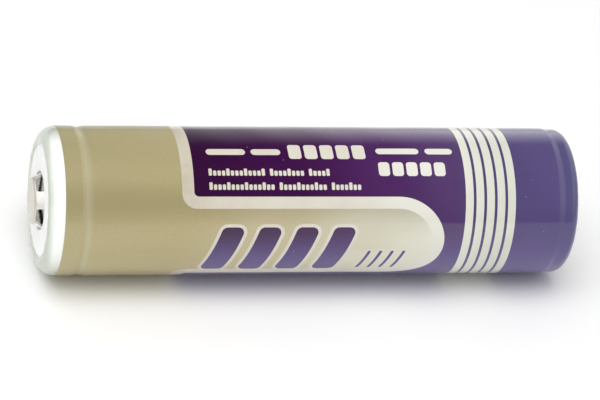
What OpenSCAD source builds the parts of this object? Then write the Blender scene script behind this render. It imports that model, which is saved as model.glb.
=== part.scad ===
// Protected cylindrical lithium-ion cell with a raised positive button.
// Each sub-part is drawn along its own Z axis: z = 0 is the tip of the button and z grows
// towards the negative end. lay_down() then lays the cell along X, centred on the origin.

/* [Cell] */
// Overall length, from the button's face to the contact plate's face
cell_len = 69; // [68.8:0.1:70]
// Gap left between pieces that touch on the real cell
snug = 0.01; // [0.005:0.005:0.015]

/* [Can] */
// Outside diameter of the steel can
can_d = 18.1; // [18:0.05:18.2]
// Wall thickness of the can
can_wall = 0.22; // [0.18:0.01:0.24]
// Length of the bare cell, from its cap's face to the can's bottom
bare_len = 64.93; // [64.8:0.01:65]
// Outer radius of the can's crimped shoulder
crimp_r = 1; // [0.9:0.05:1.1]
// Outer radius of the can's bottom corner
corner_r = 0.9; // [0.6:0.1:1.2]
// Depth of the rolled groove under the crimp
bead_depth = 1.3; // [1:0.1:1.4]

/* [Button] */
// Diameter of the button's flat contact face
button_d = 5.7; // [5.4:0.1:5.9]
// Height of the button above the white washer
button_rise = 1.1; // [1:0.05:1.2]
// Thickness of the button's sheet metal
button_t = 0.25; // [0.2:0.01:0.3]
// Number of legs that carry the button's face, with a vent window between each pair
leg_count = 4; // [3:1:5]
// Width of one leg
leg_w = 2.2; // [1.6:0.1:2.3]
// Angle of the first leg about the axis, from the nickel strip's side
leg_turn = 55; // [0:5:90]
// Thickness of the white washer round the button
washer_t = 0.4; // [0.35:0.01:0.45]

/* [Sleeves] */
// Thickness of the printed outer sleeve
sleeve_t = 0.15; // [0.14:0.01:0.16]
// Thickness of the bare cell's own sleeve
inner_sleeve_t = 0.09; // [0.08:0.01:0.1]
// Radius of the outer sleeve's shoulder at the positive end
shoulder_r = 1.9; // [1.8:0.05:2]
// Radius of the outer sleeve's shoulder at the negative end
end_r = 1.1; // [1:0.05:1.2]
// Diameter of the hole that the outer sleeve leaves at the positive end
lip_hole_d = 14; // [13.8:0.1:14.2]
// Diameter of the hole that the outer sleeve leaves at the negative end
end_hole_d = 14.4; // [14:0.1:15]
// Depth to which the outer sleeve sinks over the can's rolled groove
groove_sink = 0.1; // [0.05:0.01:0.15]
// How much the outer sleeve narrows beyond the can's bottom, round the board
end_sink = 0.12; // [0.1:0.01:0.13]

/* [Positive lead] */
// Width of the nickel strip that joins the button to the protection board
lead_w = 4; // [3.6:0.1:4.2]
// Thickness of the nickel strip
lead_t = 0.1; // [0.08:0.01:0.12]
// Width of the insulating paper under the strip
paper_w = 5; // [4.6:0.1:5]
// Thickness of the insulating paper
paper_t = 0.05; // [0.04:0.01:0.06]
// How much larger than the can's the strip's own radius is, as it springs a little flatter
strip_spring = 1.2; // [0.8:0.1:1.4]

/* [Protection board] */
// Diameter of the board
board_d = 16.2; // [15.8:0.1:16.2]
// Thickness of the board
board_t = 0.7; // [0.6:0.05:0.75]
// Diameter of the negative contact plate
plate_d = 12.8; // [11:0.1:13.4]
// Thickness of the negative contact plate
plate_t = 0.39; // [0.3:0.01:0.45]
// Height of the chips above the board
chip_h = 0.8; // [0.6:0.05:0.85]

/* [Winding] */
// Number of turns in the wound electrodes
turns = 15; // [10:1:15]
// Thickness of each coated electrode
electrode_t = 0.17; // [0.14:0.01:0.18]
// Thickness of each separator film
separator_t = 0.03; // [0.02:0.01:0.03]
// Diameter of the hollow at the winding's core
core_d = 3.5; // [3.2:0.1:3.6]

/* [Safety vent] */
// Diameter of the scored coin in the vent disc's centre
coin_d = 6.6; // [6:0.1:7]
// Width of the score that the coin tears along
score_w = 0.05; // [0.03:0.01:0.08]

/* [Hidden] */
$fn = 96;

// Radius to which the mid-line of pressed sheet is bent
bend_r = 0.3;

// Places along the axis, from the button's tip
z_washer = button_rise;
z_flange = z_washer + washer_t + snug;
z_lead = z_flange + button_t + snug;
z_cap = z_lead + lead_t + snug;
cap_proud = 0.4;
z_crimp = z_cap + cap_proud;
z_bottom = z_cap + bare_len;
z_plate = cell_len - plate_t;
z_board = z_plate - snug - board_t;

// Radii, from the can outwards
can_r = can_d / 2;
bore_r = can_r - can_wall;
inner_sleeve_r = can_r + snug + inner_sleeve_t;
paper_r = inner_sleeve_r + snug;
lead_r = paper_r + paper_t + snug;
sleeve_r = inner_sleeve_r + snug + sleeve_t;
lead_edge_r = norm([sprung_x(lead_r + lead_t, lead_w / 2), lead_w / 2]);
ridge = lead_edge_r - inner_sleeve_r;

// Where the can's crimped shoulder turns, in half section
crimp_centre = [can_r - crimp_r, z_crimp + crimp_r];
corner_centre = [can_r - corner_r, z_bottom - corner_r];

// The groove rolled into the can, which carries the crimped cap
bead_below_crimp = 3.43;
bead_z = z_crimp + bead_below_crimp;
bead_half = 1.1;
film_half = 0.95;
inner_film_sink = 0.25;

// The cap stack, clamped in the gasket between the crimp and the groove
gasket_t = 0.45;
gasket_lip_t = 0.4;
gasket_z = z_crimp + can_wall + snug;
gasket_hole_r = 6.1;
gasket_foot_hole_r = 7;
stack_r = bore_r - snug - gasket_t - snug;
cap_t = 0.4;
ptc_t = 0.36;
vent_t = 0.3;
z_stack = gasket_z + gasket_lip_t + snug;
z_ptc = z_stack + cap_t + snug;
z_vent = z_ptc + ptc_t + snug;
z_gasket_foot = z_vent + vent_t + snug;
vent_drop = 0.75;
nub_drop = 0.35;
z_cid = z_vent + vent_drop + nub_drop + vent_t + snug;
cid_t = 0.4;
cid_r = 6.2;
cid_ring_t = 0.7;
cid_foot_t = 0.3;

// The winding and what closes it off
film_t = 0.25;
tab_w = 4;
tab_t = 0.1;
tab_side = -90;
z_tab = bead_z + bead_half + 0.1;
z_top_film = z_tab + tab_t + 2 * snug;
z_roll = z_top_film + film_t + 0.1;
z_tab_floor = z_bottom - can_wall - snug - tab_t;
z_bottom_film = z_tab_floor - snug - film_t;
z_roll_end = z_bottom_film - 0.1;
anode_inset = 0.5;
cathode_inset = 1;
layer_gap = 0.01;
pitch = 2 * electrode_t + 2 * separator_t + 4 * layer_gap;
core_x = -pitch / 2;

// The board's neighbours
lip_end_z = z_bottom + snug + inner_sleeve_t;
board_paper_t = 0.06;
lead_end_r = 0.5;

// ---- Shapes and paths that repeat ----

function unit(v) = v / norm(v);
function segment_normal(path, i) = let(d = unit(path[i + 1] - path[i])) [-d[1], d[0]];

// Offset direction at point i of a path, lengthened so that the offset wall keeps its thickness
function miter(path, i) =
    let(
        last = len(path) - 1,
        before = segment_normal(path, max(i - 1, 0)),
        after = segment_normal(path, min(i, last - 1)),
        middle = unit(before + after)
    )
    middle / (middle * before);

// Closed outline of a sheet of thickness t whose mid-line is path
function sheet(path, t) = concat(
    [for (i = [0:len(path) - 1]) path[i] + miter(path, i) * t / 2],
    [for (i = [len(path) - 1:-1:0]) path[i] - miter(path, i) * t / 2]
);

function arc(centre, r, from, to, steps = 8) = [
    for (i = [0:steps])
        let(a = from + (to - from) * i / steps)
            centre + r * [cos(a), sin(a)]
];

// X at half width y of a strip's surface that lies at radius r in its middle
function sprung_x(r, y) = sqrt((r + strip_spring) ^ 2 - y ^ 2) - strip_spring;

// Points of a wall at radius r that sinks by depth in a smooth hollow centred on z
function hollow(r, z, half_length, depth, steps = 8) = [
    for (i = [-steps:steps])
        [r - depth * (1 + cos(180 * i / steps)) / 2, z + half_length * i / steps]
];

// Points of a wall that narrows smoothly from radius r to r - depth, from z0 to z1
function narrowing(r, z0, z1, depth, steps = 6) = [
    for (i = [0:steps])
        [r - depth * (1 - cos(180 * i / steps)) / 2, z0 + (z1 - z0) * i / steps]
];

// Points of the arc that rounds a path's corner b, between a and c, to radius r
function fillet(a, b, c, r, steps = 5) =
    let(
        to_a = unit(a - b),
        to_c = unit(c - b),
        half = acos(to_a * to_c) / 2,
        centre = b + unit(to_a + to_c) * r / sin(half),
        start = b + to_a * r / tan(half) - centre,
        end = b + to_c * r / tan(half) - centre,
        from = atan2(start[1], start[0]),
        swing = atan2(end[1], end[0]) - from,
        turn = swing > 180 ? swing - 360 : swing < -180 ? swing + 360 : swing
    )
    arc(centre, r, from, from + turn, steps);

// A path with all its inner corners rounded to radius r, as in bent sheet
function rounded(path, r) = let(last = len(path) - 1) concat(
    [path[0]],
    [for (i = [1:last - 1]) each fillet(path[i - 1], path[i], path[i + 1], r)],
    [path[last]]
);

module lay_down() {
    multmatrix([[0, 0, 1, -cell_len / 2], [1, 0, 0, 0], [0, 1, 0, 0]]) children();
}

module turned(path, t) {
    rotate_extrude() polygon(sheet(path, t));
}

module ring(r_out, r_in, z, t) {
    translate([0, 0, z]) difference() {
        cylinder(r = r_out, h = t);
        translate([0, 0, -1]) cylinder(r = r_in, h = t + 2);
    }
}

module around(count, r) {
    for (i = [0:count - 1]) rotate([0, 0, (i + 0.5) * 360 / count]) translate([r, 0, 0]) children();
}

// A slab of width w that runs along X from x0 to x1, used to cut strips out of turned sheets
module slab(x0, x1, w) {
    translate([x0, -w / 2, -1]) cube([x1 - x0, w, cell_len + 2]);
}

// A flat strip of width w, bent along path in the XZ plane
module bent_strip(path, w, t) {
    rotate([90, 0, 0]) translate([0, 0, -w / 2]) linear_extrude(w) polygon(sheet(path, t));
}

// ---- Sleeve, washers and button ----

// Half section of the space inside the outer sleeve, inset from its outer face, with the wall
// between its two rounded shoulders given as points
function sleeve_section(r0, r1, wall, inset) =
    let(
        z0 = z_washer - snug - sleeve_t + inset,
        z1 = z_plate + sleeve_t - inset,
        c0 = shoulder_r - inset,
        c1 = end_r - inset
    )
    concat(
        [[0, z0]],
        arc([r0 - c0, z0 + c0], c0, -90, 0, 12),
        wall,
        arc([r1 - c1, z1 - c1], c1, 0, 90, 12),
        [[0, z1]]
    );

// That space, with the raised stretch over the nickel strip
module sleeve_space(inset) {
    r = sleeve_r - inset;
    beside_lead = 0.1;
    flank = 10;
    half_w = lead_w / 2 + beside_lead + sleeve_t - inset;
    edge = asin(half_w / (r + ridge));
    foot = edge + flank;
    below = 0.005;
    wall = concat(
        hollow(r, bead_z, film_half, groove_sink),
        narrowing(r, z_bottom - corner_r, z_bottom, end_sink)
    );
    rotate_extrude() polygon(sleeve_section(r, r - end_sink, wall, inset));
    intersection() {
        rotate_extrude() polygon(sleeve_section(r + ridge, r + ridge, [], inset));
        linear_extrude(cell_len) polygon([
            [0, 0],
            for (side = [-1, 1])
                each let(
                    low = (r - below) * [cos(foot), side * sin(foot)],
                    high = (r + ridge) * [cos(edge), side * sin(edge)],
                    out = (r + 1) * [cos(edge), side * sin(edge)]
                )
                side < 0 ? [low, high, out] : [out, high, low]
        ]);
    }
}

module outer_sleeve() {
    color("#4b2a78") difference() {
        sleeve_space(0);
        sleeve_space(sleeve_t);
        cylinder(d = lip_hole_d, h = cell_len / 2);
        translate([0, 0, cell_len / 2]) cylinder(d = end_hole_d, h = cell_len);
    }
}

module top_washer() {
    under_lip = 0.3;
    hole_r = 3.75;
    color("#f2f2ee") ring(lip_hole_d / 2 + under_lip, hole_r, z_washer, washer_t);
}

// Stamped cap: a flat face on sloping legs that spring from a flange
module button_cap() {
    flange_r = 5.2;
    face_r = button_d / 2 - 0.1;
    foot_r = face_r + 0.75;
    window_top = 0.25;
    window_foot = 0.2;
    color("#c9c6bb") rotate([0, 0, leg_turn]) difference() {
        turned(
            rounded(
                [
                    [flange_r, z_flange + button_t / 2],
                    [foot_r, z_flange + button_t / 2],
                    [face_r, button_t / 2],
                    [0, button_t / 2]
                ],
                bend_r
            ),
            button_t
        );
        difference() {
            ring(foot_r + window_foot, face_r - window_top, button_t, z_flange - button_t);
            for (i = [0:leg_count - 1])
                rotate([0, 0, i * 360 / leg_count])
                    translate([0, -leg_w / 2, 0]) cube([foot_r + 1, leg_w, z_flange + 1]);
        }
    }
}

module cell_washer() {
    r = 7.5;
    hole_r = 4.7;
    color("#e8e6dc")
        ring(r, hole_r, z_cap + 2 * snug, cap_proud - inner_sleeve_t - 4 * snug);
}

module inner_sleeve() {
    r = snug + inner_sleeve_t / 2;
    lip_r = 7.2;
    color("#7fb2d6") turned(
        concat(
            [[lip_r, z_crimp - r]],
            arc(crimp_centre, crimp_r + r, -90, 0),
            hollow(can_r + r, bead_z, film_half, inner_film_sink),
            arc(corner_centre, corner_r + r, 0, 90),
            [[lip_r, z_bottom + r]]
        ),
        inner_sleeve_t
    );
}

// ---- Nickel strip and its paper ----

// A strip of width w and thickness t that follows path in half section, curved across its
// width a little less than the can, from x0 outwards
module curved_strip(path, x0, w, t) {
    intersection() {
        translate([-strip_spring, 0, 0])
            turned([for (p = path) p + [strip_spring, 0]], t);
        slab(x0, can_d, w);
    }
}

module positive_lead() {
    mid_r = lead_r + lead_t / 2;
    slope = 20;
    weld_reach = 3;
    pad_r = 6.4;
    z_top = z_lead + lead_t / 2;
    z_pad = z_board - snug - lead_t / 2;
    shoulder = arc(crimp_centre, mid_r - crimp_centre[0], slope - 90, 0);
    path = concat(
        [
            [-strip_spring, z_top],
            [shoulder[0][0] - (shoulder[0][1] - z_top) / tan(slope), z_top]
        ],
        shoulder,
        arc([mid_r - lead_end_r, z_pad - lead_end_r], lead_end_r, 0, 90),
        [[pad_r, z_pad]]
    );
    color("#c4c4c0") curved_strip(path, -weld_reach, lead_w, lead_t);
}

module lead_paper() {
    r = paper_r + paper_t / 2;
    start = -60;
    path = concat(arc(crimp_centre, r - crimp_centre[0], start, 0), [[r, z_bottom - corner_r]]);
    color("#c7b48a") curved_strip(path, 0, paper_w, paper_t);
}

// ---- Can and crimped cap ----

module can() {
    r = can_r - can_wall / 2;
    mouth_r = 6.4;
    color("#b9bbbd") turned(
        concat(
            [[mouth_r, z_crimp + can_wall / 2]],
            arc(crimp_centre, crimp_r - can_wall / 2, -90, 0),
            hollow(r, bead_z, bead_half, bead_depth),
            arc(corner_centre, corner_r - can_wall / 2, 0, 90),
            [[0, z_bottom - can_wall / 2]]
        ),
        can_wall
    );
}

module crimp_gasket() {
    r = bore_r - snug;
    wall_r = r - gasket_t;
    color("#3a3f45") rotate_extrude() polygon(concat(
        [[gasket_hole_r, gasket_z]],
        arc(crimp_centre, crimp_r - can_wall - snug, -90, 0),
        [
            [r, bead_z - bead_half],
            [gasket_foot_hole_r, bead_z - bead_half],
            [gasket_foot_hole_r, z_gasket_foot],
            [wall_r, z_gasket_foot],
            [wall_r, z_stack - snug],
            [gasket_hole_r, z_stack - snug]
        ]
    ));
}

module top_cap() {
    foot_r = 5.7;
    face_r = 4.1;
    gas_hole_r = 0.6;
    gas_hole_at = (foot_r + face_r) / 2;
    color("#c2c4c4") difference() {
        turned(
            rounded(
                [
                    [stack_r, z_stack + cap_t / 2],
                    [foot_r, z_stack + cap_t / 2],
                    [face_r, z_cap + cap_t / 2],
                    [0, z_cap + cap_t / 2]
                ],
                bend_r
            ),
            cap_t
        );
        around(4, gas_hole_at) cylinder(r = gas_hole_r, h = z_ptc);
    }
}

module ptc_ring() {
    hole_r = 5.9;
    color("#8d8f70") ring(stack_r, hole_r, z_ptc, ptc_t);
}

module vent_disc() {
    z = z_vent + vent_t / 2;
    rim_r = 6;
    floor_r = 5;
    color("#cfd1d3") turned(
        rounded(
            [
                [stack_r, z],
                [rim_r, z],
                [floor_r, z + vent_drop],
                [coin_d / 2 + score_w, z + vent_drop]
            ],
            bend_r
        ),
        vent_t
    );
}

// The scored centre of the vent disc, dimpled down to its weld on the current-interrupt plate
module vent_coin() {
    z = z_vent + vent_t / 2 + vent_drop;
    nub_r = 1.3;
    nub_foot_r = 1.9;
    path = [[coin_d / 2, z], [nub_foot_r, z], [nub_r, z + nub_drop], [0, z + nub_drop]];
    color("#d7d9db") turned(rounded(path, bend_r), vent_t);
}

module cid_insulator() {
    loose = 0.05;
    r = gasket_foot_hole_r - loose;
    z_foot = z_cid + cid_t + snug;
    color("#e4e2d6") {
        ring(r, r - cid_ring_t, z_gasket_foot, z_foot - z_gasket_foot + cid_foot_t);
        ring(r, cid_r - cid_ring_t, z_foot, cid_foot_t);
    }
}

module cid_plate() {
    gas_hole_r = 0.7;
    gas_hole_at = 4.3;
    color("#c8cacc") difference() {
        translate([0, 0, z_cid]) cylinder(r = cid_r, h = cid_t);
        around(6, gas_hole_at) cylinder(r = gas_hole_r, h = z_tab);
    }
}

// ---- Winding ----

// Radius of each layer at the start of the winding
cathode_r = core_d / 2;
separator_inner_r = cathode_r + electrode_t + layer_gap;
anode_r = separator_inner_r + separator_t + layer_gap;
separator_outer_r = anode_r + electrode_t + layer_gap;

// One layer of the winding, as half turns about two centres half a pitch apart, which meet
// tangentially and grow by one pitch a turn. The odd half turns are centred on the axis.
module wound(r, t, z0, z1) {
    for (k = [0:2 * turns - 1])
        translate([core_x * (1 - k % 2), 0, z0])
            rotate([0, 0, (k % 2) * 180])
                rotate_extrude(angle = 180)
                    translate([r + k * pitch / 2, 0]) square([t, z1 - z0]);
}

// Where a tab leaves the winding, in the middle of the odd half turn k of a layer
function tab_root_r(layer_r, k) = layer_r + k * pitch / 2 + electrode_t / 2;

// The stretch of a tab that lies in the winding, curved to its turn
module tab_root(r, z0, z1) {
    intersection() {
        ring(r + tab_t / 2, r - tab_t / 2, z0, z1 - z0);
        slab(0, can_d, tab_w);
    }
}

module cathode() {
    color("#2f3136")
        wound(cathode_r, electrode_t, z_roll + cathode_inset, z_roll_end - cathode_inset);
}

module anode() {
    color("#6b4a33") wound(anode_r, electrode_t, z_roll + anode_inset, z_roll_end - anode_inset);
}

module separator_inner() {
    color("#f4f4f0") wound(separator_inner_r, separator_t, z_roll, z_roll_end);
}

module separator_outer() {
    color("#f4f4f0") wound(separator_outer_r, separator_t, z_roll, z_roll_end);
}

module roll_tape() {
    t = 0.05;
    inset = 6;
    r = separator_outer_r + (turns - 0.5) * pitch + separator_t + snug;
    color("#5f9e6e") ring(r + t, r, z_roll + inset, z_roll_end - z_roll - 2 * inset);
}

// Pin rolled from sheet steel, which leaves a slit along it
module centre_pin() {
    loose = 0.1;
    wall = 0.25;
    inset = 1;
    slit_w = 0.3;
    r = core_d / 2 - loose;
    color("#a9adb0") translate([core_x, 0, 0]) difference() {
        ring(r, r - wall, z_roll + inset, z_roll_end - z_roll - 2 * inset);
        slab(0, core_d, slit_w);
    }
}

positive_root_r = tab_root_r(cathode_r, 2 * ceil(turns / 2) + 1);
negative_root_r = tab_root_r(anode_r, 2 * turns - 5);

module positive_tab() {
    z_weld = z_cid + cid_t + snug + tab_t / 2;
    z_run = z_tab + tab_t / 2;
    fold_r = (z_run - z_weld) / 2;
    fold_x = -2.4;
    weld_end = 2.2;
    color("#d5d7d9") rotate([0, 0, tab_side]) {
        bent_strip(
            concat(
                [[weld_end, z_weld]],
                arc([fold_x, z_weld + fold_r], fold_r, 270, 90),
                [[positive_root_r + tab_t / 2, z_run]]
            ),
            tab_w,
            tab_t
        );
        tab_root(positive_root_r, z_tab, z_roll + cathode_inset - snug);
    }
}

module negative_tab() {
    weld_reach = 2;
    color("#bdbdb6") rotate([0, 0, tab_side]) {
        translate([-weld_reach, -tab_w / 2, z_tab_floor])
            cube([weld_reach + negative_root_r, tab_w, tab_t]);
        tab_root(negative_root_r, z_roll_end - anode_inset + snug, z_tab_floor + tab_t);
    }
}

// Insulating disc with a slot where a tab passes
module film(z, root_r) {
    loose = 0.4;
    hole_r = 1.6;
    slot_in = 0.75;
    slot_out = 0.3;
    difference() {
        ring(bore_r - loose, hole_r, z, film_t);
        rotate([0, 0, tab_side]) slab(root_r - slot_in, root_r + slot_out, tab_w + 2 * slot_out);
    }
}

module top_insulator() {
    gas_hole_r = 0.6;
    gas_hole_at = 3.4;
    color("#dfe3df") difference() {
        film(z_top_film, positive_root_r);
        rotate([0, 0, tab_side]) around(4, gas_hole_at) cylinder(r = gas_hole_r, h = z_roll);
    }
}

module bottom_insulator() {
    color("#dfe3df") film(z_bottom_film, negative_root_r);
}

// ---- Protection board ----

module board_insulator() {
    r = 7.6;
    hole_r = 3.8;
    color("#d9c79a") ring(r, hole_r, lip_end_z + snug, board_paper_t);
}

module negative_lead() {
    w = 3;
    weld_end = -2.8;
    fold_x = 2.6;
    pad_end = 0.6;
    z_weld = z_bottom + snug + lead_t / 2;
    z_pad = z_board - snug - lead_t / 2;
    fold_r = (z_pad - z_weld) / 2;
    color("#c4c4c0") bent_strip(
        concat(
            [[weld_end, z_weld]],
            arc([fold_x, z_weld + fold_r], fold_r, -90, 90),
            [[pad_end, z_pad]]
        ),
        w,
        lead_t
    );
}

module board_spacer() {
    r = 8.9;
    hole_r = 7.7;
    lead_room = 0.3;
    color("#23262b") difference() {
        ring(r, hole_r, lip_end_z + snug, z_board - lip_end_z - 2 * snug);
        slab(0, can_d, lead_w + 2 * lead_room);
    }
}

module protection_board() {
    color("#1f5a3a") translate([0, 0, z_board]) cylinder(d = board_d, h = board_t);
}

// A chip of size l by w on the board's inner face, with pins along its two long sides
module chip(l, w, h, pins, pin_w, reach) {
    pin_t = 0.2;
    clear = 0.05;
    z = z_board - snug - h;
    translate([-l / 2, -w / 2, z]) cube([l, w, h - clear]);
    for (i = [0:pins - 1])
        translate([-l / 2 + l * (i + 0.5) / pins - pin_w / 2, -w / 2 - reach, z + h - pin_t])
            cube([pin_w, w + 2 * reach, pin_t]);
}

module mosfets() {
    from_middle = 4.5;
    color("#26282b")
        for (side = [-1, 1])
            translate([0, side * from_middle, 0]) chip(3, 3.2, chip_h, 4, 0.3, 0.6);
}

module protection_chip() {
    x = -4.9;
    lower = 0.05;
    color("#26282b")
        translate([x, 0, 0]) rotate([0, 0, 90]) chip(2.9, 1.5, chip_h - lower, 3, 0.35, 0.4);
}

// Two parts in cases of the common 1.6 by 0.8 size, on one side of the board
module small_pair(on_side) {
    l = 1.6;
    w = 0.8;
    h = 0.45;
    x = 4.7;
    y = 3.4;
    for (side = [-1, 1])
        translate([on_side * x, side * y, z_board - snug - h])
            rotate([0, 0, -45 * on_side * side])
                translate([-l / 2, -w / 2, 0]) cube([l, w, h]);
}

module chip_resistors() {
    color("#1c1d20") small_pair(-1);
}

module chip_capacitors() {
    color("#a58a5e") small_pair(1);
}

module negative_contact() {
    r = plate_d / 2;
    edge = 0.15;
    color("#cfcdc4") rotate_extrude() polygon(concat(
        [[0, z_plate], [r, z_plate]],
        arc([r - edge, cell_len - edge], edge, 0, 90, 4),
        [[0, cell_len]]
    ));
}

lay_down() outer_sleeve();
lay_down() top_washer();
lay_down() button_cap();
lay_down() positive_lead();
lay_down() lead_paper();
lay_down() cell_washer();
lay_down() inner_sleeve();
lay_down() can();
lay_down() crimp_gasket();
lay_down() top_cap();
lay_down() ptc_ring();
lay_down() vent_disc();
lay_down() vent_coin();
lay_down() cid_insulator();
lay_down() cid_plate();
lay_down() positive_tab();
lay_down() top_insulator();
lay_down() cathode();
lay_down() anode();
lay_down() separator_inner();
lay_down() separator_outer();
lay_down() roll_tape();
lay_down() centre_pin();
lay_down() bottom_insulator();
lay_down() negative_tab();
lay_down() board_insulator();
lay_down() negative_lead();
lay_down() board_spacer();
lay_down() protection_board();
lay_down() mosfets();
lay_down() protection_chip();
lay_down() chip_resistors();
lay_down() chip_capacitors();
lay_down() negative_contact();
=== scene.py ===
"""Looks for a protected button-top lithium-ion cell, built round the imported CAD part.

The cell lies along X with its positive button at -X. Lengths on the cell are in millimetres and
become metres as each mesh is made, while the shaders, the lights and the camera work in metres.
On the sleeve, x runs along the cell and s round it: s = 0 faces the camera and s grows downwards.
"""

import math

import bpy
import numpy as np
from mathutils import Matrix, Vector
from mathutils.geometry import delaunay_2d_cdt


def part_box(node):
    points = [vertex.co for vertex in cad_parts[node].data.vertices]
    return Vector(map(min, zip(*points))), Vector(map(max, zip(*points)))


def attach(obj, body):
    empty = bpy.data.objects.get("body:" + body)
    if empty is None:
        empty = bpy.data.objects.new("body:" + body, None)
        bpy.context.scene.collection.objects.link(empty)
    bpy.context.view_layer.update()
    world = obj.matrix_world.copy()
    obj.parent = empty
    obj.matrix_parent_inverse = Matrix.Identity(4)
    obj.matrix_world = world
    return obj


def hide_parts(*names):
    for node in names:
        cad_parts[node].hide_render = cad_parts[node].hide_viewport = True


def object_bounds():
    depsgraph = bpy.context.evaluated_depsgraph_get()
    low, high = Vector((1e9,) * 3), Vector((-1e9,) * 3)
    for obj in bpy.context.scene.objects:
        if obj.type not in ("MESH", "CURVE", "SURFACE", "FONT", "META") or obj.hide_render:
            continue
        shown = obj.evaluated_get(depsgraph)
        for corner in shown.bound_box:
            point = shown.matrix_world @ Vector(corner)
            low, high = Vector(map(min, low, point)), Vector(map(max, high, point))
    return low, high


MM = 0.001

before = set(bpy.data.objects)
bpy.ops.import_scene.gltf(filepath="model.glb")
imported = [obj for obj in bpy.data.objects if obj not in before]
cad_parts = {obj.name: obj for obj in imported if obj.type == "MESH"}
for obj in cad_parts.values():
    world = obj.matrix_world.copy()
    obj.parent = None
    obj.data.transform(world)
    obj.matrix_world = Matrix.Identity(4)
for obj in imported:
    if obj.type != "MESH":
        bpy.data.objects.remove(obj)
cad_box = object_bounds()

# ---- The cell, as the CAD has it ----

SLEEVE_LOW, SLEEVE_HIGH = (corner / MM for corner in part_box("outer_sleeve"))
R = SLEEVE_HIGH.z
FILM_T = 0.15
SHOULDER_R = 1.9
END_R = 1.1
LIP_R = 7.0
END_LIP_R = 7.2
END_SINK = 0.12
GROOVE_X, GROOVE_HALF, GROOVE_SINK = -28.79, 0.95, 0.14
NARROW_FROM, NARROW_TO = 31.41, 32.31
RIDGE_HEIGHT = SLEEVE_HIGH.y - R
RIDGE_TOP, RIDGE_FOOT = math.radians(13.6), math.radians(22.5)

# ---- The camera's side of the cell ----

ELEVATION = math.radians(35)
YAW = math.radians(14.5)
CAMERA_DISTANCE = 0.42
FRAME_FILL = 0.88

# ---- The studio's light: everywhere, and as the cell's gloss shows it ----

TENT = 0.8
GLOSS_FRONT, GLOSS_BACK, GLOSS_ENDS = 0.05, 1.75, 1.45
OVERHEAD_PLACE, OVERHEAD_SIZE, OVERHEAD_POWER = (-0.1, -0.15, 0.6), 0.5, 2.4
END_FILL_PLACE, END_FILL_SIZE, END_FILL_POWER = (-0.6, -0.1, 0.12), 0.4, 0.6
FLOOR_HALF = 3.0
FLOOR_GAP = 0.03

# ---- The sleeve's surface ----

TURN = 2 * math.pi * R
START_X = SLEEVE_LOW.x + SHOULDER_R
END_X = SLEEVE_HIGH.x - END_R
LIP_X = START_X - SHOULDER_R * math.pi / 2 - (R - SHOULDER_R - LIP_R)
END_LIP_X = END_X + END_R * math.pi / 2 + (R - END_SINK - END_R - END_LIP_R)

# How far into each shoulder the film starts to pucker and is at its most puckered
FOLD, END_FOLD = (0.9, 3.2), (0.5, 2.2)
LIP_WAVE, END_LIP_WAVE = 0.11, 0.1
PUCKER, END_PUCKER = 0.022, 0.024
# The film thins over this length to its lip, by this share of its thickness
LIP_THINS, LIP_LOSS = 0.3, 0.6
# How far into each shoulder the ridge starts to fade and is gone
RIDGE_FADE, END_RIDGE_FADE = (1.2, 3), (0.8, 2.2)
# The film's slow unevenness: each wave's height, pace along the cell, pace round it and start
SWAY = ((0.008, 0.31, 3, 0), (0.006, 0.83, -5, 1))


def smooth(value, low, high):
    """0 below low, 1 above high, and an eased slope in between."""
    t = np.clip((value - low) / (high - low), 0, 1)
    return t * t * (3 - 2 * t)


def ripple(angle, waves, seed):
    """An uneven closed wave of the angle, from about -1 to 1, with the given numbers of crests."""
    phases = np.random.default_rng(seed).uniform(0, 2 * math.pi, len(waves))
    total = sum(np.sin(n * angle + p) for n, p in zip(waves, phases))
    return total / math.sqrt(2 * len(waves))


def half_section(x, ridge):
    """Place along the cell, radius and outward direction of the sleeve.

    x is a length along its surface. ridge is 1 on the ridge, where nothing sinks, and 0 off it.
    """
    t0 = np.clip(START_X - x, 0, None)
    t1 = np.clip(x - END_X, 0, None)
    bend0 = np.clip(t0 / SHOULDER_R, 0, math.pi / 2)
    bend1 = np.clip(t1 / END_R, 0, math.pi / 2)
    flat0 = np.clip(t0 - SHOULDER_R * math.pi / 2, 0, None)
    flat1 = np.clip(t1 - END_R * math.pi / 2, 0, None)
    groove = np.clip((x - GROOVE_X) / GROOVE_HALF, -1, 1)
    narrow = np.clip((x - NARROW_FROM) / (NARROW_TO - NARROW_FROM), 0, 1)
    sink = GROOVE_SINK * (1 + np.cos(math.pi * groove)) / 2
    sink += END_SINK * (1 - np.cos(math.pi * narrow)) / 2
    along = np.clip(x, START_X, END_X) - SHOULDER_R * np.sin(bend0) + END_R * np.sin(bend1)
    radius = R - sink * (1 - ridge)
    radius -= SHOULDER_R * (1 - np.cos(bend0)) + END_R * (1 - np.cos(bend1)) + flat0 + flat1
    lean = bend1 - bend0
    return along, radius, np.sin(lean), np.cos(lean)


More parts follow.
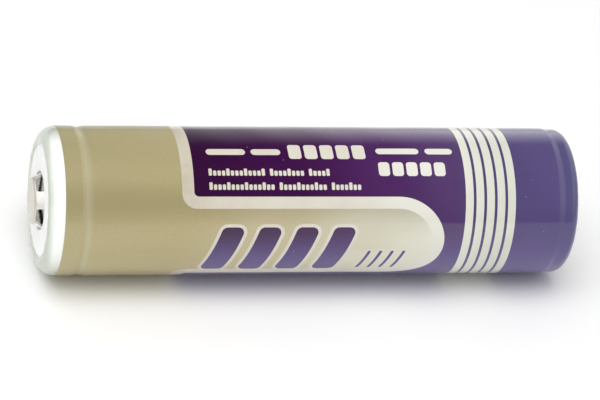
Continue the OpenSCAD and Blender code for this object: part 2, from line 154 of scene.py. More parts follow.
def sleeve_point(x, s, lift):
    """Points on the sleeve, lifted off its clean surface."""
    angle = s / R
    from_ridge = np.abs((angle - ELEVATION) % (2 * math.pi) - math.pi)
    ridge = 1 - smooth(from_ridge, RIDGE_TOP, RIDGE_FOOT)
    into0, into1 = START_X - x, x - END_X
    fold0 = smooth(into0, *FOLD)
    fold1 = smooth(into1, *END_FOLD)
    x = x + LIP_WAVE * fold0 * ripple(angle, (5, 9, 14, 19), 3)
    x = x - END_LIP_WAVE * fold1 * ripple(angle, (4, 11, 17), 5)
    along, radius, nx, nr = half_section(x, ridge)
    raised = ridge * RIDGE_HEIGHT
    raised *= (1 - smooth(into0, *RIDGE_FADE)) * (1 - smooth(into1, *END_RIDGE_FADE))
    puckers0 = fold0 * (1 + ripple(angle, (11, 17, 26, 37), 7)) * PUCKER
    puckers1 = fold1 * (1 + ripple(angle, (13, 21, 34, 43), 9)) * END_PUCKER
    sway = sum(h * np.sin(pace * x + turns * angle + start) for h, pace, turns, start in SWAY)
    edge = np.minimum(smooth(x, LIP_X, LIP_X + LIP_THINS), smooth(END_LIP_X - x, 0, LIP_THINS))
    outer = smooth(lift, -FILM_T, 0)
    lift = lift + raised + sway + outer * (puckers0 + puckers1 - (1 - edge) * LIP_LOSS * FILM_T)
    height = radius + lift * nr
    turn = ELEVATION - angle
    return np.stack([along + lift * nx, -height * np.cos(turn), height * np.sin(turn)], axis=1)


def sleeve_surface(x, s, lift):
    """Points on the sleeve with their outward normals."""
    step = 0.01
    along = sleeve_point(x + step, s, lift) - sleeve_point(x - step, s, lift)
    around = sleeve_point(x, s + step, lift) - sleeve_point(x, s - step, lift)
    normal = np.cross(around, along)
    return sleeve_point(x, s, lift), normal / np.linalg.norm(normal, axis=1, keepdims=True)


# ---- Meshes on the sleeve ----

def add_object(name, data):
    """A new object in the scene."""
    made = bpy.data.objects.new(name, data)
    bpy.context.scene.collection.objects.link(made)
    return made


def steps(start, end, longest):
    """Even steps from start to end, none above longest."""
    return np.linspace(start, end, max(2, math.ceil((end - start) / longest) + 1))


def join_steps(*runs):
    """Several runs of steps as one, in order and without repeats."""
    return np.unique(np.round(np.concatenate(runs), 6))


AROUND = 180
LONGEST_X, LONGEST_S = 1.4, 0.33
INK_TOP, INK_UNDER = 0.01, -0.03
X_STEPS = join_steps(
    steps(LIP_X, START_X, 0.14),
    steps(START_X, GROOVE_X - GROOVE_HALF, 0.9),
    steps(GROOVE_X - GROOVE_HALF, GROOVE_X + GROOVE_HALF, 0.16),
    steps(GROOVE_X + GROOVE_HALF, NARROW_FROM, 1.3),
    steps(NARROW_FROM, NARROW_TO, 0.13),
    steps(NARROW_TO, END_X, 0.5),
    steps(END_X, END_LIP_X, 0.11),
)
S_STEPS = np.linspace(-TURN / 2, TURN / 2, AROUND + 1)


def grid_sheet(xs, ss):
    """Flat points and the quads between them."""
    points = np.stack(np.meshgrid(xs, ss, indexing="ij"), axis=-1).reshape(-1, 2)
    row = len(ss)
    quads = [
        (i * row + j, (i + 1) * row + j, (i + 1) * row + j + 1, i * row + j + 1)
        for i in range(len(xs) - 1)
        for j in range(row - 1)
    ]
    return points, quads


def weld_turn(points, faces):
    """Joins the sheet's two long edges, which meet behind the cell."""
    keys = np.round(points, 4)
    keys[:, 1] = np.round(np.where(keys[:, 1] > TURN / 2 - 1e-3, keys[:, 1] - TURN, keys[:, 1]), 3)
    _, first, index = np.unique(keys, axis=0, return_index=True, return_inverse=True)
    index = index.reshape(-1)
    welded = [tuple(index[v] for v in face) for face in faces]
    return points[first], [f for f in welded if len(set(f)) == len(f)]


def sheet_object(name, points, faces, low, high):
    """A closed sheet on the sleeve, from lift low to lift high, with exact normals."""
    points, faces = weld_turn(points, faces)
    used = sorted({v for face in faces for v in face})
    place = {v: i for i, v in enumerate(used)}
    faces = [tuple(place[v] for v in reversed(face)) for face in faces]
    x, s = points[used].T
    count = len(used)
    top, normal = sleeve_surface(x, s, high)
    bottom = sleeve_point(x, s, low)
    rim = set()
    for face in faces:
        for a, b in zip(face, face[1:] + face[:1]):
            if (b, a) in rim:
                rim.discard((b, a))
            else:
                rim.add((a, b))
    under = [tuple(v + count for v in reversed(face)) for face in faces]
    walls = [(b, a, a + count, b + count) for a, b in sorted(rim)]
    mesh = bpy.data.meshes.new(name)
    mesh.from_pydata(np.concatenate([top, bottom]) * MM, [], faces + under + walls)
    mesh.update()
    mesh.shade_smooth()
    both = np.concatenate([normal, -normal])
    corner = np.empty(len(mesh.loops), int)
    mesh.loops.foreach_get("vertex_index", corner)
    corner_normals = both[corner]
    for polygon in mesh.polygons[len(faces) + len(under):]:
        corner_normals[list(polygon.loop_indices)] = polygon.normal
    mesh.normals_split_custom_set(corner_normals.tolist())
    return add_object(name, mesh)


# ---- Printed shapes, as flat outlines in x and s ----

PRINT_X = START_X - 0.1
PANEL_X = -15.8
LINE_W = 1.5
TONGUE_TOP = -0.47
TONGUE_R = 6.33
TONGUE_X = 10.34
STRIPE_X, STRIPE_W, STRIPE_PITCH, STRIPES = 19.05, 1.02, 1.385, 5
TEXT_X, VALUE_X, BACK_X = -13.9, 7.9, -12.9
PILL_H = 0.95
BAR_COUNT, BAR_SLANT = 4, 0.3
BACK_PITCH = 1.55


def arc(cx, cy, r, start, end, count=14):
    """Points of an arc from start to end, in degrees."""
    angles = np.radians(np.linspace(start, end, count))
    return [(cx + r * math.cos(a), cy + r * math.sin(a)) for a in angles]


def pill(x0, x1, s, height):
    """A bar with round ends."""
    r = height / 2
    return arc(x1 - r, s, r, -90, 90, 9) + arc(x0 + r, s, r, 90, 270, 9)


def band(x0, x1):
    """A band right round the cell."""
    return [(x0, s) for s in S_STEPS] + [(x1, s) for s in S_STEPS[::-1]]


def tongue(inset, corner):
    """The plain end of the label with its tongue, whose edge lies inset from the dark panel."""
    x = PANEL_X - inset
    r = TONGUE_R - inset
    middle = TONGUE_TOP + TONGUE_R
    top, bottom = middle - r, middle + r
    return (
        [(PRINT_X, s) for s in S_STEPS[::-1]]
        + [(x, -TURN / 2)]
        + arc(x + corner, top - corner, corner, 180, 90, 10)
        + arc(TONGUE_X, middle, r, -90, 90, 40)
        + arc(x + corner, bottom + corner, corner, -90, -180, 10)
        + [(x, TURN / 2)]
    )


def slanted_bar(x, s0, s1, width, slant, corner, grow=0.0):
    """A leaning bar with round corners, grown on every side."""
    lean = slant * (s1 - s0) / 2
    side = width / 2 + grow * math.hypot(1, slant)
    more = grow * slant
    corners = [
        (x + lean - side + more, s0 - grow),
        (x + lean + side + more, s0 - grow),
        (x - lean + side - more, s1 + grow),
        (x - lean - side - more, s1 + grow),
    ]
    return round_corners(corners, corner + grow)


def round_corners(corners, r, count=7):
    """A polygon's outline with each corner rounded to radius r."""
    outline = []
    for i, b in enumerate(corners):
        a, b, c = Vector(corners[i - 1]), Vector(b), Vector(corners[(i + 1) % len(corners)])
        to_a, to_c = (a - b).normalized(), (c - b).normalized()
        half = to_a.angle(to_c) / 2
        centre = b + (to_a + to_c).normalized() * r / math.sin(half)
        start = b + to_a * r / math.tan(half) - centre
        end = b + to_c * r / math.tan(half) - centre
        swing = math.atan2(start.x * end.y - start.y * end.x, start.dot(end))
        for k in range(count):
            turn = Matrix.Rotation(swing * k / (count - 1), 2)
            outline.append(tuple(centre + turn @ start))
    return outline


GOLD, PALE, DARK = 0, 1, 2


def row_of_blocks(x0, count, width, gap, s0, s1):
    """Upright blocks with round corners, where a maker would print a bold value."""
    row = []
    for i in range(count):
        middle = x0 + width / 2 + i * (width + gap)
        row.append((PALE, slanted_bar(middle, s0, s1, width, slant=0.0, corner=0.4)))
    return row


def row_of_words(x0, words, s):
    """Small blocks in groups, like unreadable small print that stands on the line s."""
    first, width, pitch, space = 0.24, 0.42, 0.56, 0.5
    tall, short = 0.95, 0.68
    row = []
    for letters in words:
        for i in range(letters):
            top = s - (tall if i % 4 == 0 else short)
            row.append((PALE, slanted_bar(x0 + first, top, s, width, slant=0.0, corner=0.14)))
            x0 += pitch
        x0 += space
    return row


def row_of_pills(x0, lengths, gap, s):
    """Pills of the given lengths in one row."""
    row = []
    for length in lengths:
        row.append((PALE, pill(x0, x0 + length, s, PILL_H)))
        x0 += length + gap
    return row


def row_of_bars(x0, pitch, s0, s1, width, corner, outline):
    """Leaning dark bars, each with a pale outline, where a maker would print a large value."""
    row = []
    for i in range(BAR_COUNT):
        bar = x0 + pitch * i, s0, s1, width, BAR_SLANT, corner
        row.append((PALE, slanted_bar(*bar, grow=outline)))
        row.append((DARK, slanted_bar(*bar)))
    return row


def label_layers():
    """The print's shapes from the bottom layer up, each with its ink."""
    layers = [
        (DARK, band(PRINT_X, END_LIP_X)),
        (PALE, tongue(0, corner=0.6)),
        (GOLD, tongue(LINE_W, corner=1.9)),
    ]
    for i in range(STRIPES):
        x = STRIPE_X + i * STRIPE_PITCH
        layers.append((PALE, band(x, x + STRIPE_W)))
    layers += row_of_pills(TEXT_X, (5.0, 3.8), gap=0.7, s=-6.5)
    layers += row_of_blocks(-3.4, 5, width=1.64, gap=0.42, s0=-7.75, s1=-5.45)
    layers += row_of_pills(VALUE_X, (5.6, 3.6), gap=0.8, s=-6.7)
    layers += row_of_blocks(VALUE_X, 5, width=1.45, gap=0.36, s0=-5.0, s1=-3.1)
    layers += row_of_words(TEXT_X, (13, 8, 5), s=-3.1)
    layers += row_of_words(TEXT_X, (15, 11, 7), s=-1.3)
    layers += row_of_bars(-11.6, 4.75, s0=3.4, s1=10.7, width=2.9, corner=0.75, outline=0.42)
    layers += row_of_bars(6.7, 1.5, s0=6.9, s1=10.4, width=0.42, corner=0.15, outline=0.2)
    layers += row_of_pills(BACK_X, (6.0, 4.2), gap=0.8, s=-24.2)
    for row, words in enumerate(((9, 5, 11, 4, 8), (6, 12, 7, 10), (11, 8, 4, 6, 5), (7, 9, 12))):
        layers += row_of_words(BACK_X, words, s=-22.0 + BACK_PITCH * row)
    return layers


def inside(points, outline):
    """Which points lie inside a closed outline, by counting the edges to their right."""
    odd = np.zeros(len(points), bool)
    near = np.nonzero(
        (points >= np.min(outline, axis=0)).all(1) & (points <= np.max(outline, axis=0)).all(1)
    )[0]
    px, py = points[near].T
    found = np.zeros(len(near), bool)
    for (x0, y0), (x1, y1) in zip(outline, outline[1:] + outline[:1]):
        if y0 == y1:
            continue
        crosses = (y0 > py) != (y1 > py)
        found ^= crosses & (px < x0 + (py - y0) * (x1 - x0) / (y1 - y0))
    odd[near] = found
    return odd


def split_long(outline):
    """An outline with its long edges split, so that they follow the sleeve's curve."""
    points = []
    for a, b in zip(outline, outline[1:] + outline[:1]):
        parts = math.ceil(max(abs(b[0] - a[0]) / LONGEST_X, abs(b[1] - a[1]) / LONGEST_S, 1))
        points += [tuple(np.add(a, np.subtract(b, a) * k / parts)) for k in range(parts)]
    return points


def print_sheets(layers):
    """Cuts the printed area along every outline, and returns its points and each ink's triangles."""
    xs = join_steps([PRINT_X], X_STEPS[X_STEPS > PRINT_X + 0.2])
    points, _ = grid_sheet(xs, S_STEPS)
    verts = [Vector(p) for p in points]
    row = len(S_STEPS)
    edges = [(i, i + row) for i in range(len(points) - row)]
    for _, outline in layers:
        outline = split_long(outline)
        first = len(verts)
        verts += [Vector(p) for p in outline]
        edges += [(first + i, first + (i + 1) % len(outline)) for i in range(len(outline))]
    verts, _, faces, _, _, _ = delaunay_2d_cdt(verts, edges, [], 0, 1e-5, False)
    points = np.array([tuple(v) for v in verts])
    faces = [f for f in faces if len(f) == 3]
    centres = points[np.array(faces)].mean(1)
    ink = np.full(len(faces), -1)
    for which, outline in layers:
        ink[inside(centres, outline)] = which
    turned = []
    for a, b, c in faces:
        (ax, ay), (bx, by), (cx, cy) = points[[a, b, c]]
        left = (bx - ax) * (cy - ay) - (by - ay) * (cx - ax) > 0
        turned.append((a, b, c) if left else (a, c, b))
    return points, {w: [f for f, i in zip(turned, ink) if i == w] for w in (GOLD, PALE, DARK)}


# ---- Materials ----

class Nodes:
    """The node tree of a material or of the world, built up by short calls."""

    def __init__(self, owner, coordinates):
        owner.use_nodes = True
        self.tree = owner.node_tree
        self.tree.nodes.clear()
        self.place = self.tree.nodes.new("ShaderNodeTexCoord").outputs[coordinates]

    def feed(self, socket, value):
        """Links a socket, or sets its plain value."""
        if isinstance(value, bpy.types.NodeSocket):
            self.tree.links.new(value, socket)
        elif value is not None:
            plain = isinstance(value, (int, float)) or len(value) == len(socket.default_value)
            socket.default_value = value if plain else (*value, 1)

    def math(self, operation, a, b=None, c=None):
        """One step of arithmetic on up to three values."""
        node = self.tree.nodes.new("ShaderNodeMath")
        node.operation = operation
        for socket, value in zip(node.inputs, (a, b, c)):
            self.feed(socket, value)
        return node.outputs[0]

    def axes(self):
        """The x, y and z of the place."""
        node = self.tree.nodes.new("ShaderNodeSeparateXYZ")
        self.feed(node.inputs[0], self.place)
        return node.outputs

    def spread(self, value, low, high, to_low=0.0, to_high=1.0, interpolation="SMOOTHSTEP"):
        """value carried from low..high to to_low..to_high, smoothly."""
        node = self.tree.nodes.new("ShaderNodeMapRange")
        node.interpolation_type = interpolation
        limits = {"From Min": low, "From Max": high, "To Min": to_low, "To Max": to_high}
        for name, number in limits.items():
            node.inputs[name].default_value = number
        self.feed(node.inputs["Value"], value)
        return node.outputs[0]


class Shader(Nodes):
    """A material with a Principled shader."""

    def __init__(self, name):
        self.material = bpy.data.materials.new(name)
        super().__init__(self.material, "Object")
        self.bsdf = self.tree.nodes.new("ShaderNodeBsdfPrincipled")
        out = self.tree.nodes.new("ShaderNodeOutputMaterial")
        self.feed(out.inputs["Surface"], self.bsdf.outputs[0])

    def set(self, **values):
        """Sets the Principled shader's inputs, with _ for a space in their names."""
        for name, value in values.items():
            self.feed(self.bsdf.inputs[name.replace("_", " ")], value)
        return self

    def below(self):
        """How far the place lies below the middle of the side that faces the camera."""
        _, y, z = self.axes()
        front = self.math("MULTIPLY", y, -math.sin(ELEVATION))
        return self.math("MULTIPLY_ADD", z, -math.cos(ELEVATION), front)

    def facing(self, low, high, most):
        """Grows to most where the surface turns away from the eye."""
        node = self.tree.nodes.new("ShaderNodeLayerWeight")
        node.inputs["Blend"].default_value = 0.5
        return self.spread(node.outputs["Facing"], low, high, 0.0, most)

    def stretched(self, scale):
        """The place with each axis scaled."""
        node = self.tree.nodes.new("ShaderNodeMapping")
        self.feed(node.inputs["Vector"], self.place)
        self.feed(node.inputs["Scale"], scale)
        return node.outputs[0]

    def radius(self):
        """How far the place lies from the cell's axis."""
        _, y, z = self.axes()
        return self.math("SQRT", self.math("ADD", self.math("POWER", y, 2), self.math("POWER", z, 2)))

    def polar(self, scale):
        """Place as length along X, radius and angle about the cell's axis, each scaled."""
        x, y, z = self.axes()
        turn = self.math("ARCTAN2", z, y)
        node = self.tree.nodes.new("ShaderNodeCombineXYZ")
        for socket, value, size in zip(node.inputs, (x, self.radius(), turn), scale):
            self.feed(socket, self.math("MULTIPLY", value, size))
        return node.outputs[0]

    def noise(self, where, scale=1.0, detail=3.0, rough=0.5):
        """Uneven grey noise, from 0 to 1."""
        node = self.tree.nodes.new("ShaderNodeTexNoise")
        self.feed(node.inputs["Vector"], where)
        self.feed(node.inputs["Scale"], scale)
        self.feed(node.inputs["Detail"], detail)
        self.feed(node.inputs["Roughness"], rough)
        return node.outputs["Fac"]

    def dots(self, scale, inner, outer):
        """1 on a few small dots, and 0 between them."""
        node = self.tree.nodes.new("ShaderNodeTexVoronoi")
        self.feed(node.inputs["Vector"], self.place)
        self.feed(node.inputs["Scale"], scale)
        return self.spread(node.outputs["Distance"], inner, outer, 1.0, 0.0)

    def ramp(self, value, stops):
        """Colour that runs through the given stops of value and colour."""
        low, high = stops[0][0], stops[-1][0]
        node = self.tree.nodes.new("ShaderNodeValToRGB")
        node.color_ramp.interpolation = "EASE"
        band_of = node.color_ramp.elements
        for i, (at, colour) in enumerate(stops):
            place = (at - low) / (high - low)
            stop = band_of[i] if i < 2 else band_of.new(place)
            stop.position, stop.color = place, (*colour, 1)
        self.feed(node.inputs[0], self.spread(value, low, high, interpolation="LINEAR"))
        return node.outputs[0]

    def mix(self, share, a, b):
        """Colour a, going to colour b as share goes to 1."""
        node = self.tree.nodes.new("ShaderNodeMix")
        node.data_type = "RGBA"
        self.feed(node.inputs[0], share)
        self.feed(node.inputs[6], a)
        self.feed(node.inputs[7], b)
        return node.outputs[2]

    def bump(self, height, strength, distance):
        """Bumps of the given depth, in metres."""
        node = self.tree.nodes.new("ShaderNodeBump")
        self.feed(node.inputs["Height"], height)
        node.inputs["Strength"].default_value = strength
        node.inputs["Distance"].default_value = distance
        self.feed(self.bsdf.inputs["Normal"], node.outputs[0])
        return self


def shade(colour, factor):
    """A colour made darker, or lighter where factor is above 1."""
    return tuple(c * factor for c in colour)


def gold_ink():
    """Champagne metallic ink that pales to silver along the tongue, under clear film."""
    m = Shader("gold_ink")
    x = m.axes()[0]
    below = m.below()
    along = m.math("MULTIPLY_ADD", below, 0.36, x)
    base = m.ramp(along, (
        (-0.034, (0.435, 0.375, 0.185)),
        (-0.016, (0.45, 0.38, 0.185)),
        (-0.004, (0.54, 0.47, 0.29)),
        (0.008, (0.68, 0.65, 0.51)),
        (0.018, (0.77, 0.77, 0.66)),
    ))
    flakes = m.noise(m.place, 12000, 1)
    cloud = m.noise(m.stretched((60, 220, 220)), 1.0, 3)
    base = m.mix(m.spread(flakes, 0.35, 0.8, 0.0, 0.16), base, (0.9, 0.86, 0.7))
    base = m.mix(m.spread(cloud, 0.3, 0.75, 0.0, 0.16), base, (0.34, 0.28, 0.13))
    # Painted shade: a darker band painted along the middle of the side that faces the camera, standing
    # in for the dim reflection there.
    middle = m.spread(m.math("ABSOLUTE", below), 0.0003, 0.003, 0.35, 0.0)
    base = m.mix(middle, base, (0.33, 0.27, 0.125))
    # Painted highlight: a pale line painted along the groove, standing in for the gleam of the groove's
    # wall.
    from_groove = m.math("ABSOLUTE", m.math("SUBTRACT", x, GROOVE_X * MM))
    base = m.mix(m.spread(from_groove, 0.0, 0.0006, 0.2, 0.0), base, (0.66, 0.7, 0.56))
    # Painted shade: darker brown painted where the surface turns away from the eye, standing in for the
    # ink's dim grazing reflection.
    base = m.mix(m.facing(0.55, 1.0, 0.7), base, (0.27, 0.235, 0.13))
    m.set(Base_Color=base, Metallic=0.25, Roughness=m.spread(flakes, 0.3, 0.8, 0.42, 0.52))
    return film_gloss(m, 0.45)


def dark_ink():
    """Plum ink under clear film, painted lighter and bluer towards the negative end and towards the
    bottom as painted reflections.
    """
    m = Shader("plum_ink")
    x = m.axes()[0]
    # Painted reflection: the plum is painted lighter and bluer towards the negative end, standing in
    # for a reflection on that part.
    base = m.ramp(x, (
        (-0.016, (0.029, 0.0004, 0.033)),
        (-0.003, (0.041, 0.001, 0.052)),
        (0.009, (0.064, 0.013, 0.1)),
        (0.017, (0.078, 0.034, 0.132)),
        (0.021, (0.078, 0.05, 0.155)),
        (0.031, (0.08, 0.058, 0.18)),
        (0.035, (0.07, 0.072, 0.185)),
    ))
    # Painted reflection: lighter blue-violet painted towards the bottom, standing in for the floor's
    # reflection.
    base = m.mix(m.spread(m.below(), 0.0032, 0.0076, 0.0, 0.85), base, (0.098, 0.064, 0.23))
    speckle = m.noise(m.place, 5200, 2)
    base = m.mix(m.spread(speckle, 0.6, 0.8, 0.0, 0.08), base, (0.2, 0.08, 0.34))
    base = m.mix(m.dots(500, 0.02, 0.04), base, (0.32, 0.3, 0.42))
    m.set(Base_Color=base, Roughness=m.spread(speckle, 0.3, 0.8, 0.34, 0.46), Specular_IOR_Level=0.1)
    return film_gloss(m)


def pale_ink():
    """Warm white ink under clear film."""
    m = Shader("pale_ink")
    cloud = m.noise(m.place, 420, 3)
    base = m.ramp(m.axes()[0], (
        (-0.018, (0.53, 0.47, 0.36)),
        (-0.012, (0.65, 0.60, 0.50)),
        (0.003, (0.68, 0.64, 0.55)),
        (0.013, (0.77, 0.76, 0.68)),
        (0.026, (0.65, 0.665, 0.56)),
    ))
    base = m.mix(m.spread(cloud, 0.3, 0.7, 0.0, 0.25), base, (0.78, 0.76, 0.68))
    m.set(Base_Color=base, Roughness=0.4, Specular_IOR_Level=0.2)
    return film_gloss(m)


def film_gloss(m, weight=1.0):
    """The film's own clear gloss, with its faint ripple."""
    smears = m.noise(m.stretched((120, 500, 500)), 1.0, 3)
    m.set(Coat_Weight=weight, Coat_IOR=1.5, Coat_Roughness=m.spread(smears, 0.3, 0.7, 0.06, 0.14))
    ripple_height = m.noise(m.polar((260, 0, 5)), 1.0, 2)
    return m.bump(ripple_height, 0.25, 0.00006)


def clear_film():
    """Unprinted film, shrunk tight over the white washer and the cell's own sleeve."""
    m = Shader("clear_film")
    milk = m.noise(m.polar((500, 500, 3)), 1.0, 3)
    # Colour by radius: the grey-green band near r = 7.8 mm is partly the washer's edge seen through the
    # film and partly painted shade, and the white towards r = 9 mm is a painted highlight of the
    # shoulder's crest.
    base = m.ramp(m.radius(), (
        (0.0069, (0.80, 0.83, 0.76)),
        (0.0078, (0.52, 0.58, 0.50)),
        (0.0085, (0.70, 0.75, 0.68)),
        (0.009, (0.94, 0.955, 0.92)),
    ))
    base = m.mix(m.spread(milk, 0.3, 0.7, 0.0, 0.3), base, (0.93, 0.94, 0.90))
    # Painted shade: darker grey-green painted where the surface turns away from the eye, standing in
    # for the dim reflection at the shoulder's top and bottom.
    base = m.mix(m.facing(0.25, 0.8, 0.9), base, (0.38, 0.425, 0.335))
    m.set(Base_Color=base, Roughness=0.14, IOR=1.53, Coat_Weight=0.5, Coat_Roughness=0.05)
    streaks = m.noise(m.polar((300, 300, 14)), 1.0, 2)
    return m.bump(streaks, 0.2, 0.00005)


def sheet_metal(name, colour, rough, brushed=(1, 1, 1), marks=0.1, metal=1.0, painted_face_shade=None):
    """Plated or rolled metal, with fine scratches stretched along one way and dull patches.

    The last argument, when given, is a darker colour painted on the button's face near its tip: painted
    shade for the dim reflection of the face.
    """
    m = Shader(name)
    scratches = m.noise(m.stretched(brushed), 1.0, 5, 0.65)
    patches = m.noise(m.place, 420, 5, 0.6)
    base = m.mix(m.spread(patches, 0.35, 0.7), colour, shade(colour, 0.93))
    base = m.mix(m.spread(scratches, 0.55, 0.75, 0.0, marks * 2), base, shade(colour, 0.55))
    # Painted shade: the button's face, within a few tenths of a millimetre of the tip, is painted
    # darker to stand in for its dim reflection.
    if painted_face_shade:
        tip = cad_box[0].x
        base = m.mix(m.spread(m.axes()[0], tip + 0.0001, tip + 0.0004), painted_face_shade, base)
    dull = m.spread(patches, 0.3, 0.8, rough * 0.8, rough * 1.25)
    dull = m.math("ADD", dull, m.math("MULTIPLY", scratches, 0.08))
    m.set(Base_Color=base, Metallic=metal, Roughness=dull)
    return m.bump(scratches, marks, 0.00002)


def turned_metal(name, colour, rough):
    """Metal with fine rings about the cell's axis, as a spring contact rubs into it."""
    m = Shader(name)
    rings = m.noise(m.polar((0, 16000, 0.6)), 1.0, 4, 0.7)
    patches = m.noise(m.place, 260, 5, 0.6)
    base = m.mix(m.spread(patches, 0.3, 0.75), colour, shade(colour, 0.92))
    base = m.mix(m.spread(rings, 0.5, 0.75, 0.0, 0.25), base, shade(colour, 0.5))
    m.set(Base_Color=base, Metallic=1.0, Roughness=m.spread(rings, 0.3, 0.7, rough * 0.8, rough * 1.3))
    return m.bump(rings, 0.12, 0.00002)


def fibre(name, colour, grain, rough=0.85):
    """Pressed paper: short tangled fibres and a soft mottle."""
    m = Shader(name)
    fibres = m.noise(m.stretched((grain, grain * 2.2, grain)), 1.0, 6, 0.7)
    mottle = m.noise(m.place, 500, 3)
    base = m.mix(m.spread(mottle, 0.3, 0.7), colour, shade(colour, 0.93))
    base = m.mix(m.spread(fibres, 0.52, 0.72, 0.0, 0.3), base, shade(colour, 0.8))
    m.set(Base_Color=base, Roughness=rough, Specular_IOR_Level=0.3)
    return m.bump(fibres, 0.3, 0.00004)


def moulded(name, colour, rough, grain=1800, coat=0.0, clear=0.0):
    """Polymer with the faint skin of a moulding or a film."""
    m = Shader(name)
    skin = m.noise(m.place, grain, 3)
    cloud = m.noise(m.place, 260, 2)
    base = m.mix(m.spread(cloud, 0.3, 0.7), colour, shade(colour, 0.86))
    dull = m.spread(skin, 0.3, 0.7, rough * 0.85, rough * 1.15)
    m.set(Base_Color=base, Roughness=dull, Coat_Weight=coat)
    if clear:
        m.set(Subsurface_Weight=clear, Subsurface_Scale=0.0004)
    return m.bump(skin, 0.15, 0.00002)


def coated_foil(name, colour, edge):
    """Powder coating pressed on foil, darker where it is denser."""
    m = Shader(name)
    powder = m.noise(m.place, 9000, 4, 0.7)
    streaks = m.noise(m.polar((40, 0, 60)), 1.0, 3)
    base = m.mix(m.spread(powder, 0.35, 0.7), colour, edge)
    base = m.mix(m.spread(streaks, 0.4, 0.7, 0.0, 0.3), base, shade(colour, 0.6))
    m.set(Base_Color=base, Roughness=0.72, Metallic=0.1)
    return m.bump(powder, 0.2, 0.00001)


def solder_mask():
    """Green lacquer over a woven glass board."""
    m = Shader("board_green")
    _, y, z = m.axes()
    threads = 9000
    weave = m.math(
        "MULTIPLY",
        m.math("SINE", m.math("MULTIPLY", y, threads)),
        m.math("SINE", m.math("MULTIPLY", z, threads)),
    )
    cloud = m.noise(m.place, 600, 3)
    base = m.mix(m.spread(cloud, 0.3, 0.7), (0.01, 0.12, 0.045), (0.014, 0.17, 0.06))
    base = m.mix(m.spread(weave, -0.2, 1.0, 0.0, 0.25), base, (0.05, 0.26, 0.12))
    m.set(Base_Color=base, Roughness=0.32, Coat_Weight=0.5, Coat_Roughness=0.12)
    return m.bump(weave, 0.1, 0.00001)


def tinned(name, body, ends, across, limit):
    """A small part's dark body with bright tinned ends, beyond limit from the middle along one axis."""
    m = Shader(name)
    place = m.axes()[across]
    out = m.spread(m.math("ABSOLUTE", place), limit, limit + 0.00005)
    grain = m.noise(m.place, 6000, 3)
    m.set(
        Base_Color=m.mix(out, m.mix(grain, body, shade(body, 1.4)), ends),
        Metallic=out,
        Roughness=m.spread(out, 0, 1, 0.6, 0.3),
    )
    return m.bump(grain, 0.2, 0.00001)


# ---- The pieces ----

def finish_nodes():
    """Gives every CAD node its material."""
    nickel = sheet_metal(
        "nickel_plate", (0.93, 0.91, 0.85), 0.24, (900, 5200, 900), metal=0.85, painted_face_shade=(0.6, 0.575, 0.49)
    )
    strip = sheet_metal("nickel_strip", (0.66, 0.65, 0.61), 0.3, (700, 9000, 9000))
    steel = sheet_metal("plated_steel", (0.6, 0.61, 0.62), 0.24, (300, 6000, 6000))
    plain_steel = sheet_metal("rolled_steel", (0.5, 0.51, 0.52), 0.32, (260, 7000, 7000))
    aluminium = sheet_metal("rolled_aluminium", (0.8, 0.81, 0.82), 0.28, (4000, 4000, 600))
    contact = turned_metal("contact_nickel", (0.75, 0.71, 0.62), 0.24)
    white = fibre("white_fibre", (0.93, 0.93, 0.92), 2600)
    kraft = fibre("kraft_paper", (0.5, 0.4, 0.24), 2600)
    black = moulded("black_polymer", (0.02, 0.021, 0.023), 0.5)
    natural = moulded("natural_polymer", (0.74, 0.73, 0.66), 0.4, clear=0.3)
    ptc = moulded("ptc_polymer", (0.13, 0.14, 0.09), 0.6, 4000)
    blue = moulded("blue_film", (0.05, 0.17, 0.36), 0.22, 900, coat=0.8)
    tape = moulded("green_tape", (0.03, 0.2, 0.08), 0.3, 1200, coat=0.5)
    porous = moulded("separator_film", (0.84, 0.84, 0.82), 0.55, 7000, clear=0.2)
    cathode = coated_foil("cathode_coat", (0.02, 0.02, 0.023), (0.045, 0.045, 0.05))
    anode = coated_foil("anode_coat", (0.035, 0.03, 0.028), (0.09, 0.07, 0.055))
    board = solder_mask()
    transistor = tinned("transistor", (0.02, 0.02, 0.022), (0.7, 0.7, 0.68), 1, 0.0061)
    chip = moulded("chip_compound", (0.022, 0.022, 0.024), 0.55, 6000)
    resistor = moulded("resistor", (0.03, 0.03, 0.034), 0.4, 6000)
    capacitor = moulded("capacitor", (0.36, 0.25, 0.14), 0.45, 6000)
    wearers = {
        nickel: ("button_cap",),
        strip: ("positive_lead", "negative_lead", "negative_tab"),
        steel: ("can", "top_cap"),
        plain_steel: ("centre_pin",),
        aluminium: ("vent_disc", "vent_coin", "cid_plate", "positive_tab"),
        contact: ("negative_contact",),
        white: ("top_washer", "cell_washer"),
        kraft: ("lead_paper", "board_insulator"),
        black: ("crimp_gasket", "board_spacer"),
        natural: ("cid_insulator", "top_insulator", "bottom_insulator"),
        ptc: ("ptc_ring",),
        blue: ("inner_sleeve",),
        tape: ("roll_tape",),
        porous: ("separator_inner", "separator_outer"),
        cathode: ("cathode",),
        anode: ("anode",),
        board: ("protection_board",),
        transistor: ("mosfets",),
        chip: ("protection_chip",),
        resistor: ("chip_resistors",),
        capacitor: ("chip_capacitors",),
    }
    for shader, names in wearers.items():
        for name in names:
            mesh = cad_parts[name].data
            mesh.materials.clear()
            mesh.materials.append(shader.material)


def dress(piece, shader):
    """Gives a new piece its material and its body."""
    piece.data.materials.append(shader.material)
    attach(piece, "root")
    return piece


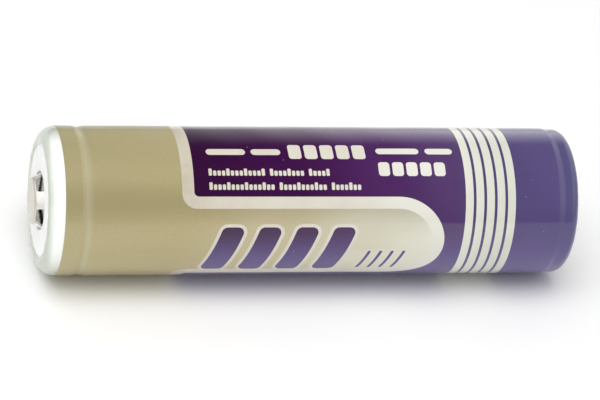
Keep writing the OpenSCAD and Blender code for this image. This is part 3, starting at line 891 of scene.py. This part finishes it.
def make_sleeve():
    """The film that stands for the CAD sleeve, and the three inks printed on it."""
    film = sheet_object("sleeve_film", *grid_sheet(X_STEPS, S_STEPS), -FILM_T, 0)
    dress(film, clear_film())
    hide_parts("outer_sleeve")
    points, inks = print_sheets(label_layers())
    for name, ink, shader in (
        ("sleeve_print_gold", GOLD, gold_ink()),
        ("sleeve_print_pale", PALE, pale_ink()),
        ("sleeve_print_plum", DARK, dark_ink()),
    ):
        dress(sheet_object(name, points, inks[ink], INK_UNDER, INK_TOP), shader)


# ---- The studio ----

def make_floor():
    """A pale floor under the cell."""
    z = (-R - FLOOR_GAP) * MM
    corners = [(x * FLOOR_HALF, y * FLOOR_HALF, z) for x, y in ((-1, -1), (1, -1), (1, 1), (-1, 1))]
    mesh = bpy.data.meshes.new("floor")
    mesh.from_pydata(corners, [], [(0, 1, 2, 3)])
    m = Shader("floor_white")
    m.set(Base_Color=(0.93, 0.93, 0.93), Roughness=0.75)
    mesh.materials.append(m.material)
    add_object("floor", mesh)


def softbox(name, place, size, power):
    """A square area light that faces the cell and leaves no glint of its own, with power in watts."""
    light = bpy.data.lights.new(name, "AREA")
    light.shape, light.size, light.energy = "SQUARE", size, power
    lamp = add_object(name, light)
    lamp.location = place
    lamp.rotation_euler = (-Vector(place)).to_track_quat("-Z", "Y").to_euler()
    lamp.visible_glossy = False


def make_world():
    """An even white tent for the light, with a dim front and a bright low back in reflections."""
    world = bpy.data.worlds.new("studio")
    bpy.context.scene.world = world
    sky = Nodes(world, "Generated")
    x, y, z = sky.axes()
    back = sky.spread(y, 0.6, 0.95, 0.0, GLOSS_BACK)
    back = sky.math("MULTIPLY", back, sky.spread(x, 0.19, 0.3, 0.12, 1.0))
    ends = sky.spread(sky.math("ABSOLUTE", x), 0.25, 0.5, 0.0, GLOSS_ENDS)
    ends = sky.math("MULTIPLY", ends, sky.spread(z, -0.1, 0.45, 0.3, 1.0, "LINEAR"))
    seen = sky.math("ADD", sky.math("MAXIMUM", back, ends), GLOSS_FRONT)
    rays = sky.tree.nodes.new("ShaderNodeLightPath")
    strength = sky.tree.nodes.new("ShaderNodeMix")
    sky.feed(strength.inputs[0], rays.outputs["Is Glossy Ray"])
    sky.feed(strength.inputs[2], TENT)
    sky.feed(strength.inputs[3], seen)
    glow = sky.tree.nodes.new("ShaderNodeBackground")
    sky.feed(glow.inputs["Strength"], strength.outputs[0])
    out = sky.tree.nodes.new("ShaderNodeOutputWorld")
    sky.feed(out.inputs["Surface"], glow.outputs[0])


def make_camera():
    """Looks at the cell from its positive side, with the cell's axis level in the picture."""
    low, high = cad_box
    centre = (low + high) / 2
    length = (high.x - low.x) * math.cos(YAW)
    ahead = Vector((
        math.sin(YAW),
        math.cos(YAW) * math.cos(ELEVATION),
        -math.cos(YAW) * math.sin(ELEVATION),
    ))
    right = (Vector((1, 0, 0)) - ahead * ahead.x).normalized()
    up = right.cross(ahead)
    camera = bpy.data.cameras.new("camera")
    camera.sensor_width = 36
    camera.lens = camera.sensor_width * CAMERA_DISTANCE * FRAME_FILL / length
    camera.clip_start, camera.clip_end = 0.01, 20
    made = add_object("camera", camera)
    turn = Matrix((right, up, -ahead)).transposed().to_4x4()
    made.matrix_world = Matrix.Translation(centre - ahead * CAMERA_DISTANCE) @ turn
    bpy.context.scene.camera = made


finish_nodes()
make_sleeve()
make_floor()
make_world()
softbox("overhead", OVERHEAD_PLACE, OVERHEAD_SIZE, OVERHEAD_POWER)
softbox("end_fill", END_FILL_PLACE, END_FILL_SIZE, END_FILL_POWER)
make_camera()
bpy.context.scene.view_settings.view_transform = "Standard"
